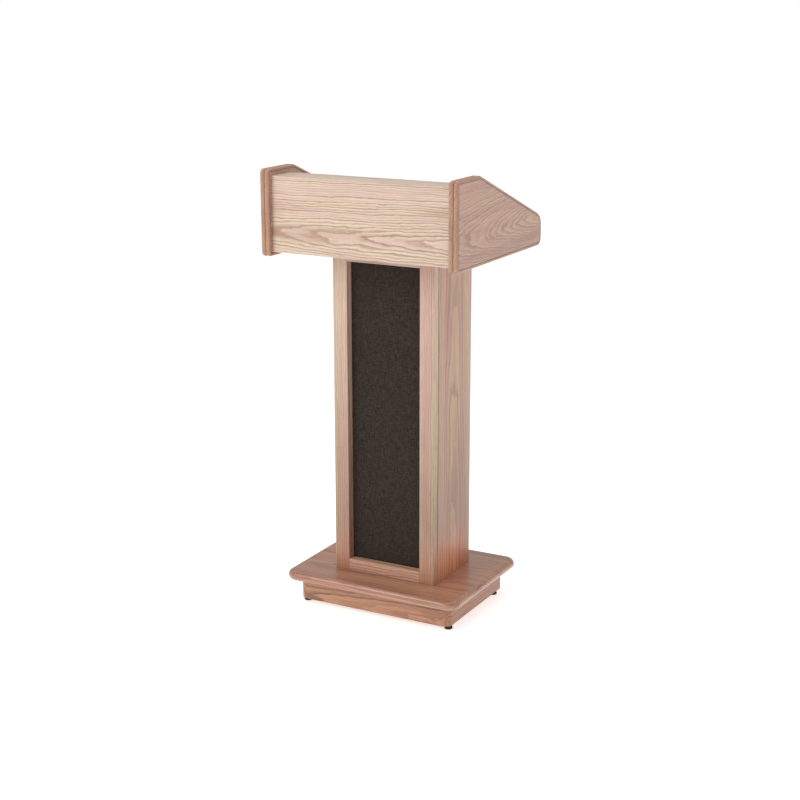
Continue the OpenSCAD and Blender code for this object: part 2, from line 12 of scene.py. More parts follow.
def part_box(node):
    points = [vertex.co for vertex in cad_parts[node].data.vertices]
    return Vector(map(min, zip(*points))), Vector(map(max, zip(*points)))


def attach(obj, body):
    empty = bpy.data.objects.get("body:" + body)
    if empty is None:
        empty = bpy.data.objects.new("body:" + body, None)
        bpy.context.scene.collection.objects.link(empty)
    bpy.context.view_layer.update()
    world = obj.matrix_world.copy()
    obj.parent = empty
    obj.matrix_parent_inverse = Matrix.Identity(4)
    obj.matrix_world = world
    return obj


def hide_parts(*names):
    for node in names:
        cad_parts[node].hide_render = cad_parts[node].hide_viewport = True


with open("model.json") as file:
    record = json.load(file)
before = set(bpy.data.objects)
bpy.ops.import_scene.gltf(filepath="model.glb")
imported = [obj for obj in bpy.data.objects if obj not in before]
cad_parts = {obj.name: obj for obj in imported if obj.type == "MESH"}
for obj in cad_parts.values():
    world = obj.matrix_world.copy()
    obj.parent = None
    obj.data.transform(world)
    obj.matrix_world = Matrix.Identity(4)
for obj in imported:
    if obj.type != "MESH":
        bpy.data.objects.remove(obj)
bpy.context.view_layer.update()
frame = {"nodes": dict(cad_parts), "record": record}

NODES = frame["nodes"]
BODY_OF = {node: body for body, members in frame["record"]["behaviour"]["bodies"].items()
           for node in members}
MM = 0.001
X, Y, Z = 0, 1, 2


def added(name, data):
    """A new object in the scene."""
    made = bpy.data.objects.new(name, data)
    bpy.context.scene.collection.objects.link(made)
    return made


# ---------------- camera and light
CAMERA_AT = (1.972, -3.681, 1.673)
CAMERA_TURN = (28.33, 14.91, -0.06)  # yaw, pitch down and roll, in degrees
CAMERA_LENS = 72.0
WORLD_LIGHT = 0.5  # what the white room gives the object
WORLD_SEEN = 1.0  # what the camera sees of it
FLOOR_SIZE = 40
FLOOR_GLOW = 0.62  # lifts the floor to the white of the photograph's ground


def make_camera():
    data = bpy.data.cameras.new("camera")
    data.sensor_width = 36
    data.lens = CAMERA_LENS
    data.clip_end = 60
    camera = added("camera", data)
    yaw, pitch, roll = (math.radians(angle) for angle in CAMERA_TURN)
    camera.matrix_world = (Matrix.Translation(CAMERA_AT) @ Matrix.Rotation(yaw, 4, "Z")
                           @ Matrix.Rotation(math.pi / 2 - pitch, 4, "X")
                           @ Matrix.Rotation(roll, 4, "Z"))
    bpy.context.scene.camera = camera


def area_light(name, at, target, size, power, colour=(1, 1, 1)):
    data = bpy.data.lights.new(name, "AREA")
    data.shape = "SQUARE"
    data.size = size
    data.energy = power
    data.color = colour
    light = added(name, data)
    light.location = at
    light.rotation_euler = (Vector(target) - Vector(at)).to_track_quat("-Z", "Y").to_euler()


def make_studio():
    """A pale floor in a white room, with a large soft light at the front left."""
    scene = bpy.context.scene
    scene.view_settings.view_transform = "Standard"
    world = bpy.data.worlds.new("studio")
    world.use_nodes = True
    scene.world = world
    tree = world.node_tree
    background = tree.nodes["Background"]
    background.inputs["Color"].default_value = (1, 1, 1, 1)
    path = tree.nodes.new("ShaderNodeLightPath")
    seen = tree.nodes.new("ShaderNodeMapRange")
    seen.inputs["To Min"].default_value = WORLD_LIGHT
    seen.inputs["To Max"].default_value = WORLD_SEEN
    tree.links.new(path.outputs["Is Camera Ray"], seen.inputs["Value"])
    tree.links.new(seen.outputs[0], background.inputs["Strength"])
    area_light("key", at=(-1.3, -2.5, 2.5), target=(0, -0.1, 1.0), size=1.5, power=40,
               colour=(1, 0.99, 0.975))
    area_light("overhead", at=(0.3, 0.4, 4.2), target=(0, 0, 0), size=4.0, power=60)
    bpy.ops.mesh.primitive_plane_add(size=FLOOR_SIZE)
    floor = bpy.context.object
    floor.name = "floor"
    paint = Shader("floor_paint", Roughness=0.9, Base_Color=(0.78, 0.78, 0.78, 1),
                   Emission_Color=(1, 1, 1, 1), Emission_Strength=FLOOR_GLOW)
    floor.data.materials.append(paint.material)


# ---------------- materials
def srgb(*levels):
    """Linear colour of 0-255 screen levels."""
    return tuple(v / 255 / 12.92 if v <= 10 else ((v / 255 + 0.055) / 1.055) ** 2.4
                 for v in levels) + (1.0,)


class Shader:
    """A procedural material, built by short calls that return sockets."""

    def __init__(self, name, **uniform):
        self.material = bpy.data.materials.new(name)
        self.material.use_nodes = True
        self.tree = self.material.node_tree
        self.bsdf = self.tree.nodes["Principled BSDF"]
        self.feed(self.bsdf, {key.replace("_", " "): value for key, value in uniform.items()})

    def feed(self, node, inputs):
        """Links each socket to its input, and sets the others to their values."""
        for key, value in dict(inputs).items():
            if isinstance(value, bpy.types.NodeSocket):
                self.tree.links.new(value, node.inputs[key])
            else:
                node.inputs[key].default_value = value

    def node(self, kind, inputs=(), **settings):
        made = self.tree.nodes.new("ShaderNode" + kind)
        for key, value in settings.items():
            setattr(made, key, value)
        self.feed(made, inputs)
        return made

    def coords(self):
        return self.node("TexCoord").outputs["Object"]

    def attribute(self, name, output):
        return self.node("Attribute", attribute_name=name).outputs[output]

    def split(self, vector):
        return self.node("SeparateXYZ", {0: vector}).outputs

    def maths(self, operation, *values, clamp=False):
        return self.node("Math", enumerate(values), operation=operation,
                         use_clamp=clamp).outputs[0]

    def plus(self, a, b):
        return self.maths("ADD", a, b)

    def minus(self, a, b):
        return self.maths("SUBTRACT", a, b)

    def times(self, a, b, clamp=False):
        return self.maths("MULTIPLY", a, b, clamp=clamp)

    def times_plus(self, a, b, c):
        return self.maths("MULTIPLY_ADD", a, b, c)

    def random(self, value):
        """A fixed random number for each whole number."""
        made = self.node("TexWhiteNoise", {"W": value}, noise_dimensions="1D")
        return made.outputs["Value"]

    def noise(self, vector, by, detail, rough=0.5, shift=(0, 0, 0)):
        """Noise with `by` cells to the metre, as one number or as three."""
        by = (by,) * 3 if isinstance(by, (int, float)) else by
        moved = self.node("VectorMath", {0: vector, 1: by, 2: shift}, operation="MULTIPLY_ADD")
        inputs = {"Vector": moved.outputs[0], "Scale": 1, "Detail": detail, "Roughness": rough}
        return self.node("TexNoise", inputs).outputs["Fac"]

    def between(self, value, low, high, to_low=0.0, to_high=1.0):
        inputs = {"Value": value, "From Min": low, "From Max": high, "To Min": to_low,
                  "To Max": to_high}
        return self.node("MapRange", inputs, interpolation_type="SMOOTHSTEP").outputs[0]

    def mix(self, factor, a, b, blend="MIX"):
        """A blend of two colours. The Mix node keeps its colour inputs at 6 and 7."""
        inputs = {0: factor, 6: a, 7: b}
        return self.node("Mix", inputs, data_type="RGBA", blend_type=blend).outputs[2]

    def curve(self, factor, stops):
        """A grey ramp through (position, level) stops."""
        ramp = self.node("ValToRGB", {0: factor})
        while len(ramp.color_ramp.elements) < len(stops):
            ramp.color_ramp.elements.new(0.5)
        for element, (position, level) in zip(ramp.color_ramp.elements, stops):
            element.position = position
            element.color = (level, level, level, 1)
        return ramp.outputs[0]

    def finish(self, colour, rough, height, depth, strength):
        bump = self.node("Bump", {"Height": height, "Distance": depth, "Strength": strength})
        self.feed(self.bsdf, {"Base Color": colour, "Roughness": rough,
                              "Normal": bump.outputs[0]})
        return self.material


def tinted(colour, *by):
    return tuple(c * k for c, k in zip(colour, by)) + (1,)


# Painted light on the column: a darker, redder tint for painted shade towards the floor, and a warm
# tint for painted bounce light from the base plate
PAINTED_FLOOR_SHADE_TINT = (0.57, 0.47, 0.39, 1)
PAINTED_BOUNCE_TINT = (1.95, 1.25, 0.95, 1)
RING_PROFILE = [(0.0, 0.0), (0.18, 0.1), (0.45, 0.8), (0.88, 1.0), (1.0, 0.0)]


def oak(name, grain, normal, light, dark, seed, pith, spacing=0.006, tilt=0.03,
        wander=0.012, wiggle=0.0022, contrast=0.8, streaks=0.6, patches=0.5, painted_floor_shade=0.0,
        painted_bounce_light=0.0, lacquer=0.22, moulded=False):
    """Lacquered red oak. Its rings run round a line that passes `pith`, given across the board
    and along its normal, and `tilt` lets them surface as arches. `painted_floor_shade` paints shade
    that deepens the tone towards the floor, and `painted_bounce_light` paints warm bounce light from
    the base plate just above it. A moulded piece brings its own grain directions, and painted shade
    darkens its grooves."""
    s = Shader("paint_" + name, Coat_Weight=lacquer, Coat_Roughness=0.2)
    axes = s.split(s.attribute("grain", "Vector") if moulded else s.coords())
    along, across, into = (axes[axis] for axis in (grain, 3 - grain - normal, normal))
    point = s.node("CombineXYZ", {0: along, 1: across, 2: into}).outputs[0]
    shift = (seed * 3.17, seed * 1.31, seed * 2.23)

    # Growth rings: the distance from the pith, disturbed at two scales
    swell = s.noise(point, (3.5, 13, 13), 3, 0.5, shift)
    ripple = s.noise(point, (22, 75, 75), 2, 0.55, shift)
    dy = s.minus(across, pith[0])
    dz = s.times_plus(along, tilt, s.minus(into, pith[1]))
    radius = s.maths("SQRT", s.plus(s.times(dy, dy), s.times(dz, dz)))
    radius = s.times_plus(s.minus(swell, 0.5), wander * 2, radius)
    radius = s.times_plus(s.minus(ripple, 0.5), wiggle * 2, radius)
    turn = s.maths("DIVIDE", radius, spacing)
    strength = s.between(s.random(s.maths("FLOOR", turn)), 0, 1, 0.3, 1)
    late = s.curve(s.maths("FRACT", turn), RING_PROFILE)
    late = s.times_plus(s.minus(late, 1), strength, 1)

    # Pores in the early wood, fine fibres, ray flecks and broad changes of tone
    pores = s.between(s.noise(point, (60, 1300, 1300), 2, 0.6, shift), 0.56, 0.68)
    fine = s.noise(point, (14, 520, 520), 3, 0.6, shift)
    pores = s.times(pores, s.times_plus(late, -0.75, 1))
    flecks = s.between(s.noise(point, (150, 500, 2200), 1, 0.5, shift), 0.70, 0.78)
    tone = s.noise(point, (0.9, 30, 30), 4, 0.55, shift)
    patch = s.noise(point, (2.2, 20, 20), 3, 0.55, (shift[1], shift[2], shift[0]))

    pink = tinted(light, 0.96, 0.81, 0.81)
    straw = tinted(light, 1.03, 1.07, 0.90)
    deep = tinted(dark, 0.55, 0.55, 0.55)
    base = s.mix(s.between(tone, 0.36, 0.64), pink, straw)
    base = s.mix(streaks, light, base)
    base = s.mix(s.between(patch, 0.50, 0.76, 0, patches), base, dark)
    colour = s.mix(s.times(s.minus(1, late), contrast, clamp=True), base, dark)
    colour = s.mix(s.between(fine, 0.40, 0.66, 0.0, 0.30), colour, dark)
    colour = s.mix(s.times(pores, 0.55), colour, deep)
    colour = s.mix(s.times(flecks, 0.25), colour, dark)
    # Painted shade: the tone darkens towards the floor. Painted light: a warm glow of bounce light
    # from the base plate, just above it.
    if painted_floor_shade:
        level = s.split(s.coords())[Z]
        colour = s.mix(s.between(level, 0.1, 0.9, painted_floor_shade, 0), colour, PAINTED_FLOOR_SHADE_TINT, "MULTIPLY")
        colour = s.mix(s.between(level, 0.1, 0.26, painted_bounce_light, 0), colour, PAINTED_BOUNCE_TINT, "MULTIPLY")
    if moulded:
        # Painted shade: the moulding's quirks and the groove between its beads are darkened in the
        # colour
        groove = s.attribute("groove", "Fac")
        colour = s.mix(s.between(groove, 0.1, 1, 0, 0.75), colour, deep)
    relief = s.times_plus(pores, -1, s.times(late, 0.25))
    return s.finish(colour, s.between(pores, 0, 1, 0.40, 0.62), relief, 0.3 * MM, 0.5)


# Light and dark tones of each part's wood
HEAD = srgb(222, 203, 188), srgb(172, 139, 117)
SIDE = srgb(202, 163, 145), srgb(146, 105, 87)
COLUMN = srgb(213, 190, 176), srgb(156, 118, 97)
FLANK = srgb(205, 168, 148), srgb(148, 105, 84)
TRIM = srgb(186, 146, 123), srgb(132, 92, 71)
BASE = srgb(192, 140, 112), srgb(118, 74, 50)
PINE = srgb(222, 192, 148), srgb(190, 148, 98)

THREAD = 1.3 * MM


def grille_cloth_paint():
    """Open plain weave of dark brown thread, with slubs."""
    s = Shader("paint_grille_cloth", Specular_IOR_Level=0.2, Sheen_Weight=0.06)
    axes = s.split(s.coords())
    u = s.maths("DIVIDE", axes[X], THREAD)
    v = s.maths("DIVIDE", axes[Z], THREAD)
    hump_u = s.maths("ABSOLUTE", s.maths("SINE", s.times(u, math.pi)))
    hump_v = s.maths("ABSOLUTE", s.maths("SINE", s.times(v, math.pi)))
    cell = s.plus(s.maths("FLOOR", s.plus(u, 4096)), s.maths("FLOOR", s.plus(v, 4096)))
    over = s.maths("MODULO", cell, 2)
    warp = s.times(hump_u, s.times_plus(hump_v, 0.5, 0.5))
    weft = s.times(hump_v, s.times_plus(hump_u, 0.5, 0.5))
    lift = s.plus(s.times(warp, over), s.times(weft, s.minus(1, over)))
    slub_u = s.noise(s.coords(), (800, 1, 45), 2, 0.6)
    slub_v = s.noise(s.coords(), (45, 1, 800), 2, 0.6, (7, 3, 1))
    slub = s.plus(s.times(slub_u, over), s.times(slub_v, s.minus(1, over)))
    cloudy = s.noise(s.coords(), 190, 3, 0.7)
    thread = s.mix(s.between(slub, 0.38, 0.62), srgb(34, 27, 23), srgb(86, 73, 64))
    thread = s.mix(s.between(cloudy, 0.38, 0.70, 0, 0.6), thread, srgb(36, 29, 25))
    # Painted shade: the colour falls to near-black where the threads dip and between them, for the
    # weave's hollows and the unlit chamber seen through it
    colour = s.mix(s.between(lift, 0.05, 0.5), srgb(17, 13, 11), thread)
    return s.finish(colour, 0.9, lift, 0.6 * MM, 0.8)


# ---------------- meshes
def piece(name, mesh, paint, replaces, on="base_plate"):
    """A new visible piece, which rides with the CAD node `on`."""
    made = added(name, mesh)
    mesh.materials.clear()
    mesh.materials.append(PAINT[paint])
    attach(made, BODY_OF[on])
    if replaces:
        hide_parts(*replaces)
    return made


def smooth(mesh, angle=32):
    """Smooth shading that breaks at real edges."""
    mesh.shade_smooth()
    mesh.set_sharp_from_angle(angle=math.radians(angle))
    return mesh


def bevel(bm, edges, width, segments):
    bmesh.ops.bevel(bm, geom=edges, offset=width, segments=segments, profile=0.5,
                    affect="EDGES", clamp_overlap=True)


def eased(node, paint, width=0.8 * MM, shortest=5 * MM, segments=3):
    """A board with its arrises taken off: a copy of the CAD node, with its flat faces made
    whole again first."""
    bm = bmesh.new()
    bm.from_mesh(NODES[node].data)
    bmesh.ops.remove_doubles(bm, verts=bm.verts, dist=1e-5)
    bmesh.ops.dissolve_limit(bm, angle_limit=0.01, verts=bm.verts, edges=bm.edges)
    sharp = [edge for edge in bm.edges
             if len(edge.link_faces) == 2
             and edge.calc_face_angle(0) > math.radians(25)
             and edge.calc_length() > shortest]
    bevel(bm, sharp, width, segments)
    mesh = bpy.data.meshes.new(node + "_eased")
    bm.to_mesh(mesh)
    bm.free()
    made = piece(node + "_board", smooth(mesh), paint, [node], node)
    made.modifiers.new("even shading", "WEIGHTED_NORMAL").keep_sharp = True


def rounded_path(corners, steps=10):
    """Points and outward normals along a convex outline, anticlockwise, with round corners.
    Each corner is (u, v, radius)."""
    points, normals = [], []
    count = len(corners)
    for i, (u, v, radius) in enumerate(corners):
        here = np.array((u, v))
        back = np.array(corners[i - 1][:2]) - here
        ahead = np.array(corners[(i + 1) % count][:2]) - here
        back, ahead = back / np.linalg.norm(back), ahead / np.linalg.norm(ahead)
        half = math.acos(float(back @ ahead)) / 2
        middle = (back + ahead) / np.linalg.norm(back + ahead)
        centre = here + middle * radius / math.sin(half)
        first = np.array((-back[1], back[0]))
        sweep = math.pi - 2 * half
        start = math.atan2(first[1], first[0])
        for k in range(steps + 1):
            angle = start + sweep * k / steps
            normal = np.array((math.cos(angle), math.sin(angle)))
            points.append(centre + normal * radius)
            normals.append(normal)
    return np.array(points), np.array(normals)


def swept(points, normals, section, place, closed_section, caps=False, grooves=()):
    """Runs a section of (outward, sideways) pairs round a closed path. `place` turns the
    path's u, v and the sideways value into a point. The attribute "grain" holds the distance
    along the path and the place in the section, and "groove" marks the section's low points, where
    the oak paints shade."""
    rings = len(points)
    size = len(section)
    verts = [place(*(p + n * out), side) for p, n in zip(points, normals) for out, side in section]
    faces = []
    spans = size if closed_section else size - 1
    for i in range(rings):
        j = (i + 1) % rings
        for k in range(spans):
            m = (k + 1) % size
            faces.append((i * size + k, j * size + k, j * size + m, i * size + m))
    if caps:
        faces.append([i * size for i in range(rings)][::-1])
        faces.append([i * size + size - 1 for i in range(rings)])
    mesh = bpy.data.meshes.new("swept")
    mesh.from_pydata([tuple(v) for v in verts], [], faces)
    run = np.concatenate([[0], np.cumsum(np.linalg.norm(np.diff(points, axis=0), axis=1))])
    grain = mesh.attributes.new("grain", "FLOAT_VECTOR", "POINT")
    grain.data.foreach_set("vector", [
        value for distance in run for out, side in section for value in (distance, side, out)])
    if grooves:
        # Mask of the section's low points, which the oak darkens as painted shade
        depth = mesh.attributes.new("groove", "FLOAT", "POINT")
        depth.data.foreach_set("value", [float(k in grooves) for _ in run for k in range(size)])
    bm = bmesh.new()
    bm.from_mesh(mesh)
    bmesh.ops.remove_doubles(bm, verts=bm.verts, dist=1e-6)
    bmesh.ops.recalc_face_normals(bm, faces=bm.faces)
    bm.to_mesh(mesh)
    bm.free()
    return mesh


# ---------------- head
FLAT_TOP = 129 * MM
SLOPE = math.radians(21)
BAND = 9 * MM
QUIRK = 1.2 * MM
BEAD_RISE = 3 * MM


def moulding_section(thickness, steps=8):
    """Two beads on the edge, and a quirk on each face, as a closed loop of (outward, sideways)."""
    radius = ((thickness / 4) ** 2 + BEAD_RISE ** 2) / (2 * BEAD_RISE)
    reach = math.asin(thickness / 4 / radius)
    loop = [(-BAND, QUIRK), (-BAND + QUIRK, QUIRK), (-BAND + QUIRK, 0.3 * MM),
            (-BAND + QUIRK + 0.3 * MM, 0), (-BEAD_RISE - 0.8 * MM, 0)]
    for bead in (1, 3):
        for k in range(steps + 1):
            angle = -reach + 2 * reach * k / steps
            loop.append((radius * math.cos(angle) - radius,
                         bead * thickness / 4 + radius * math.sin(angle)))
    mirrored = [(out, thickness - side) for out, side in loop[:5]]
    return loop + mirrored[::-1]


def head_moulding(side):
    low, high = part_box("head_edge_" + side)
    rear_top = high.z - (high.y - low.y - FLAT_TOP) * math.tan(SLOPE)
    corners = [(low.y, low.z, 12 * MM), (high.y, low.z, 20 * MM), (high.y, rear_top, 38 * MM),
               (low.y + FLAT_TOP, high.z, 26 * MM), (low.y, high.z, 12 * MM)]
    points, normals = rounded_path(corners)
    section = moulding_section(high.x - low.x)
    count = len(section)
    # The quirks and the groove between the beads, darkened in the moulding's colour as painted shade
    grooves = {0, 1, 2, count // 2 - 1, count // 2, count - 3, count - 2, count - 1}
    mesh = swept(points, normals, section, lambda u, v, w: (low.x + w, u, v), True,
                 grooves=grooves)
    smooth(mesh, 40)
    piece("head_moulding_" + side, mesh, "moulding", ["head_edge_" + side])


# ---------------- base
def base_plate():
    low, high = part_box("base_plate")
    radius = (high.z - low.z) / 2
    corner = 36 * MM
    corners = [(low.x, low.y, corner), (high.x, low.y, corner), (high.x, high.y, corner),
               (low.x, high.y, corner)]
    points, normals = rounded_path(corners, 16)
    angles = [math.pi * k / 16 - math.pi / 2 for k in range(17)]
    section = [(radius * (math.cos(a) - 1), low.z + radius * (1 + math.sin(a))) for a in angles]
    mesh = swept(points, normals, section, lambda u, v, w: (u, v, w), False, caps=True)
    smooth(mesh, 30)
    made = piece("base_plate_board", mesh, "base_plate", ["base_plate"])
    made.modifiers.new("even shading", "WEIGHTED_NORMAL").keep_sharp = True


# ---------------- grille
def grille_cloth():
    """Cloth stretched over its frame: almost flat, with the slight pull between the staples."""
    low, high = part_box("grille_cloth")
    columns, rows = 48, 160
    verts = []
    for j in range(rows + 1):
        for i in range(columns + 1):
            u, v = i / columns, j / rows
            x = low.x + (high.x - low.x) * u
            z = low.z + (high.z - low.z) * v
            slack = 0.25 * math.sin(math.pi * u) * math.sin(math.pi * v)
            ripple = 0.08 * (math.sin(z * 260) * (1 - math.sin(math.pi * u)) + 1)
            verts.append((x, low.y + (slack + ripple) * MM, z))
    corners = [j * (columns + 1) + i for j in range(rows) for i in range(columns)]
    faces = [(a, a + 1, a + columns + 2, a + columns + 1) for a in corners]
    mesh = bpy.data.meshes.new("grille_cloth_sheet")
    mesh.from_pydata(verts, [], faces)
    mesh.shade_smooth()
    made = piece("grille_cloth_sheet", mesh, "grille_cloth", ["grille_cloth"])


# ---------------- hardware materials
def surface(name, levels, rough, metal=0, mottle=0.2, cloud=90, fine=900, depth=0.03 * MM,
            **uniform):
    """A metal, paint or moulding: its colour shifts a little, and a fine texture breaks up its
    gloss. `fine` can be one scale or three, so that a brushed surface has a direction."""
    s = Shader("paint_" + name, Metallic=metal, **uniform)
    clouds = s.noise(s.coords(), cloud, 3, 0.6)
    texture = s.noise(s.coords(), fine, 2, 0.6)
    colour = srgb(*levels)
    worn = tinted(colour, 1 - mottle, 1 - mottle, 1 - mottle)
    shade = s.mix(s.between(clouds, 0.35, 0.65), colour, worn)
    shade = s.mix(s.between(texture, 0.4, 0.75, 0, mottle), shade, worn)
    vary = 0.015 if metal else 0.06
    gloss = s.plus(s.between(texture, 0.3, 0.7, rough - vary, rough + vary),
                   s.between(clouds, 0.3, 0.7, -vary / 2, vary / 2))
    return s.finish(shade, gloss, texture, depth, 0.5)


def galvanised():
    """Zinc-coated sheet, with its crystals."""
    s = Shader("paint_galvanised", Metallic=1.0)
    crystal = s.node("TexVoronoi", {"Vector": s.coords(), "Scale": 130})
    grey = s.node("SeparateColor", {0: crystal.outputs["Color"]}).outputs[0]
    shade = s.mix(grey, srgb(150, 154, 158), srgb(188, 191, 194))
    return s.finish(shade, s.between(grey, 0, 1, 0.34, 0.52), grey, 0.02 * MM, 0.3)


def solder_mask():
    """Green circuit board, with straight broken tracks under the lacquer."""
    s = Shader("paint_circuit", Coat_Weight=0.3, Coat_Roughness=0.15)
    axes = s.split(s.coords())
    row = s.maths("DIVIDE", axes[Y], 2.4 * MM)
    stripe = s.maths("ABSOLUTE", s.minus(s.maths("FRACT", row), 0.5))
    reach = s.times_plus(s.random(s.maths("FLOOR", row)), 9, s.times(axes[X], 31))
    broken = s.between(s.maths("SINE", reach), -0.35, -0.3)
    track = s.times(s.between(stripe, 0.2, 0.24, 1, 0), broken)
    colour = s.mix(track, srgb(18, 72, 42), srgb(34, 104, 62))
    grain = s.noise(s.coords(), (900, 900, 60), 2)
    colour = s.mix(s.between(grain, 0.5, 0.8, 0, 0.3), colour, srgb(12, 52, 30))
    return s.finish(colour, 0.35, track, 0.03 * MM, 0.6)


def cone_paper():
    """Pressed black paper, with its fibres."""
    s = Shader("paint_cone_paper")
    fibre = s.noise(s.coords(), (1500, 400, 1500), 4, 0.7)
    blot = s.noise(s.coords(), 90, 3, 0.6)
    colour = s.mix(s.between(fibre, 0.35, 0.7), srgb(34, 32, 31), srgb(58, 55, 52))
    colour = s.mix(s.between(blot, 0.4, 0.7, 0, 0.4), colour, srgb(26, 25, 24))
    return s.finish(colour, 0.88, fibre, 0.15 * MM, 0.8)


# ---------------- turned and moulded shapes
UPWARD = Matrix.Identity(4)
REARWARD = Matrix.Rotation(-math.pi / 2, 4, "X")
FORWARD = Matrix.Rotation(math.pi / 2, 4, "X")
DOWNWARD = Matrix.Rotation(math.pi, 4, "X")
RIGHTWARD = Matrix.Rotation(math.pi / 2, 4, "Y")
LEFTWARD = Matrix.Rotation(-math.pi / 2, 4, "Y")


def at(point, turn=REARWARD):
    """A place whose own units are millimetres and whose z axis points the way of `turn`."""
    return Matrix.Translation(point) @ turn @ Matrix.Scale(MM, 4)


def rounded(path, radius, steps=4):
    """The path with its inner corners drawn as short curves."""
    path = [Vector(p) for p in path]
    out = [path[0]]
    for back, here, ahead in zip(path, path[1:], path[2:]):
        before, after = back - here, ahead - here
        p = here + before.normalized() * min(radius, before.length / 2)
        q = here + after.normalized() * min(radius, after.length / 2)
        for k in range(steps + 1):
            t = k / steps
            out.append(p * (1 - t) ** 2 + here * 2 * t * (1 - t) + q * t * t)
    return out + [path[-1]]


def threaded(radius, low, high, pitch=0.8):
    """Profile points of a screw thread, drawn as rings."""
    count = int((high - low) / pitch)
    points = [(radius - 0.3 * (k % 2), low + k * pitch / 2) for k in range(2 * count + 1)]
    return points + [(radius - 0.3, high)]


def hexagon(radius):
    """A hexagon's outline, from its centre-to-corner radius."""
    angles = [math.pi / 3 * k for k in range(6)]
    return [(radius * math.cos(a), radius * math.sin(a)) for a in angles]


def round_rect(width, height, radius):
    """A rectangle's outline, with round corners."""
    u, v = width / 2, height / 2
    corners = [(-u, -v, radius), (u, -v, radius), (u, v, radius), (-u, v, radius)]
    return [tuple(p) for p in rounded_path(corners, 6)[0]]


class Build:
    """Solids gathered into one mesh, each given in millimetres in a place of its own."""

    def __init__(self):
        self.bm = bmesh.new()

    def ring(self, place, points):
        return [self.bm.verts.new(place @ Vector(p)) for p in points]

    def join(self, rings):
        made = []
        for low, high in zip(rings, rings[1:]):
            count = max(len(low), len(high))
            for k in range(count):
                m = (k + 1) % count
                corners = dict.fromkeys((low[k % len(low)], low[m % len(low)],
                                         high[m % len(high)], high[k % len(high)]))
                if len(corners) > 2:
                    made.append(self.bm.faces.new(list(corners)))
        return made

    def turned(self, profile, place, segments, closed=False, shape=None):
        """Turns (radius, along) points about the z axis. `shape` scales a radius by its angle
        and its place along the axis."""
        rings = []
        for radius, z in profile:
            points = []
            for k in range(segments if radius > 1e-6 else 1):
                angle = 2 * math.pi * k / segments
                r = radius * (shape(angle, z) if shape else 1)
                points.append((r * math.cos(angle), r * math.sin(angle), z))
            rings.append(self.ring(place, points))
        self.join(rings + rings[:1] if closed else rings)
        return self

    def prism(self, outline, low, high, place, ease=0.0):
        """Stands an outline on the xy plane from low to high, with its sharp edges eased."""
        rings = [self.ring(place, [(x, y, z) for x, y in outline]) for z in (low, high)]
        faces = [self.bm.faces.new(rings[0][::-1]), self.bm.faces.new(rings[1])]
        faces += self.join(rings)
        if ease:
            self.bm.normal_update()
            sharp = [edge for edge in {e for face in faces for e in face.edges}
                     if edge.calc_face_angle(0) > math.radians(40)]
            bevel(self.bm, sharp, ease * MM, 2)
        return self

    def block(self, low, high, place, ease=0.0):
        outline = [(low[0], low[1]), (high[0], low[1]), (high[0], high[1]), (low[0], high[1])]
        return self.prism(outline, low[2], high[2], place, ease)

    def tube(self, path, radius, place, segments=14):
        """A round cable along a path."""
        path = [Vector(p) for p in path]
        normal = Vector((0.3, 0.5, 0.8))
        rings = []
        for k, point in enumerate(path):
            along = (path[min(k + 1, len(path) - 1)] - path[max(k - 1, 0)]).normalized()
            normal = (normal - along * normal.dot(along)).normalized()
            side = along.cross(normal)
            rings.append(self.ring(place, [
                point + (normal * math.cos(a) + side * math.sin(a)) * radius
                for a in (2 * math.pi * j / segments for j in range(segments))]))
        self.join(rings)
        self.bm.faces.new(rings[0][::-1])
        self.bm.faces.new(rings[-1])
        return self

    def copies(self, mesh, places):
        """Puts a millimetre mesh at each place."""
        for place in places:
            before = len(self.bm.verts)
            self.bm.from_mesh(mesh)
            self.bm.verts.ensure_lookup_table()
            bmesh.ops.transform(self.bm, matrix=place, verts=self.bm.verts[before:])
        return self

    def mesh(self, name="solid", angle=35):
        mesh = bpy.data.meshes.new(name)
        bmesh.ops.recalc_face_normals(self.bm, faces=self.bm.faces)
        self.bm.to_mesh(mesh)
        self.bm.free()
        return smooth(mesh, angle)


def carved(mesh, cutter):
    """The mesh with the cutter's volume taken away."""
    solids = [added("solid", one) for one in (mesh, cutter)]
    cut = solids[0].modifiers.new("cut", "BOOLEAN")
    cut.operation, cut.solver, cut.object = "DIFFERENCE", "EXACT", solids[1]
    graph = bpy.context.evaluated_depsgraph_get()
    result = bpy.data.meshes.new_from_object(solids[0].evaluated_get(graph))
    for one in solids:
        bpy.data.objects.remove(one)
    return result


def screw(radius, height, shank, length, countersunk=False):
    """A cross-recessed screw in millimetres: its head's top is at the origin, and its threaded
    shank runs down the z axis."""
    if countersunk:
        head = [(0, 0), (radius - 0.2, 0), (radius, -0.25), (shank, -height)]
    else:
        head = [(radius * math.sin(a), height * (math.cos(a) - 1))
                for a in (math.pi / 2 * k / 6 for k in range(7))] + [(shank, -height)]
    thread = threaded(shank, -length + 1.5, -height - 0.4)[::-1]
    body = Build().turned(head + thread + [(0, -length)], UPWARD, 24).mesh()
    wide, narrow, deep = radius * 0.62, radius * 0.17, min(height * 0.75, radius * 0.6)
    arm = [(narrow, -wide), (narrow, -narrow), (wide, -narrow)]
    cross = [(u * c - v * d, u * d + v * c) for c, d in ((1, 0), (0, 1), (-1, 0), (0, -1))
             for u, v in arm]
    return carved(body, Build().prism(cross, -deep, 1, UPWARD).mesh())


def hardware(name, build, paint="zinc_plate", replaces=(), on="base_plate",
             angle=35):
    """A finished fitting from a build."""
    piece(name, build.mesh(name + "_mesh", angle), paint, replaces, on)


def middle(node):
    low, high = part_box(node)
    return (low + high) / 2


# ---------------- base and column fittings
GLIDES = ("glide_front_left", "glide_front_right", "glide_rear_left", "glide_rear_right")


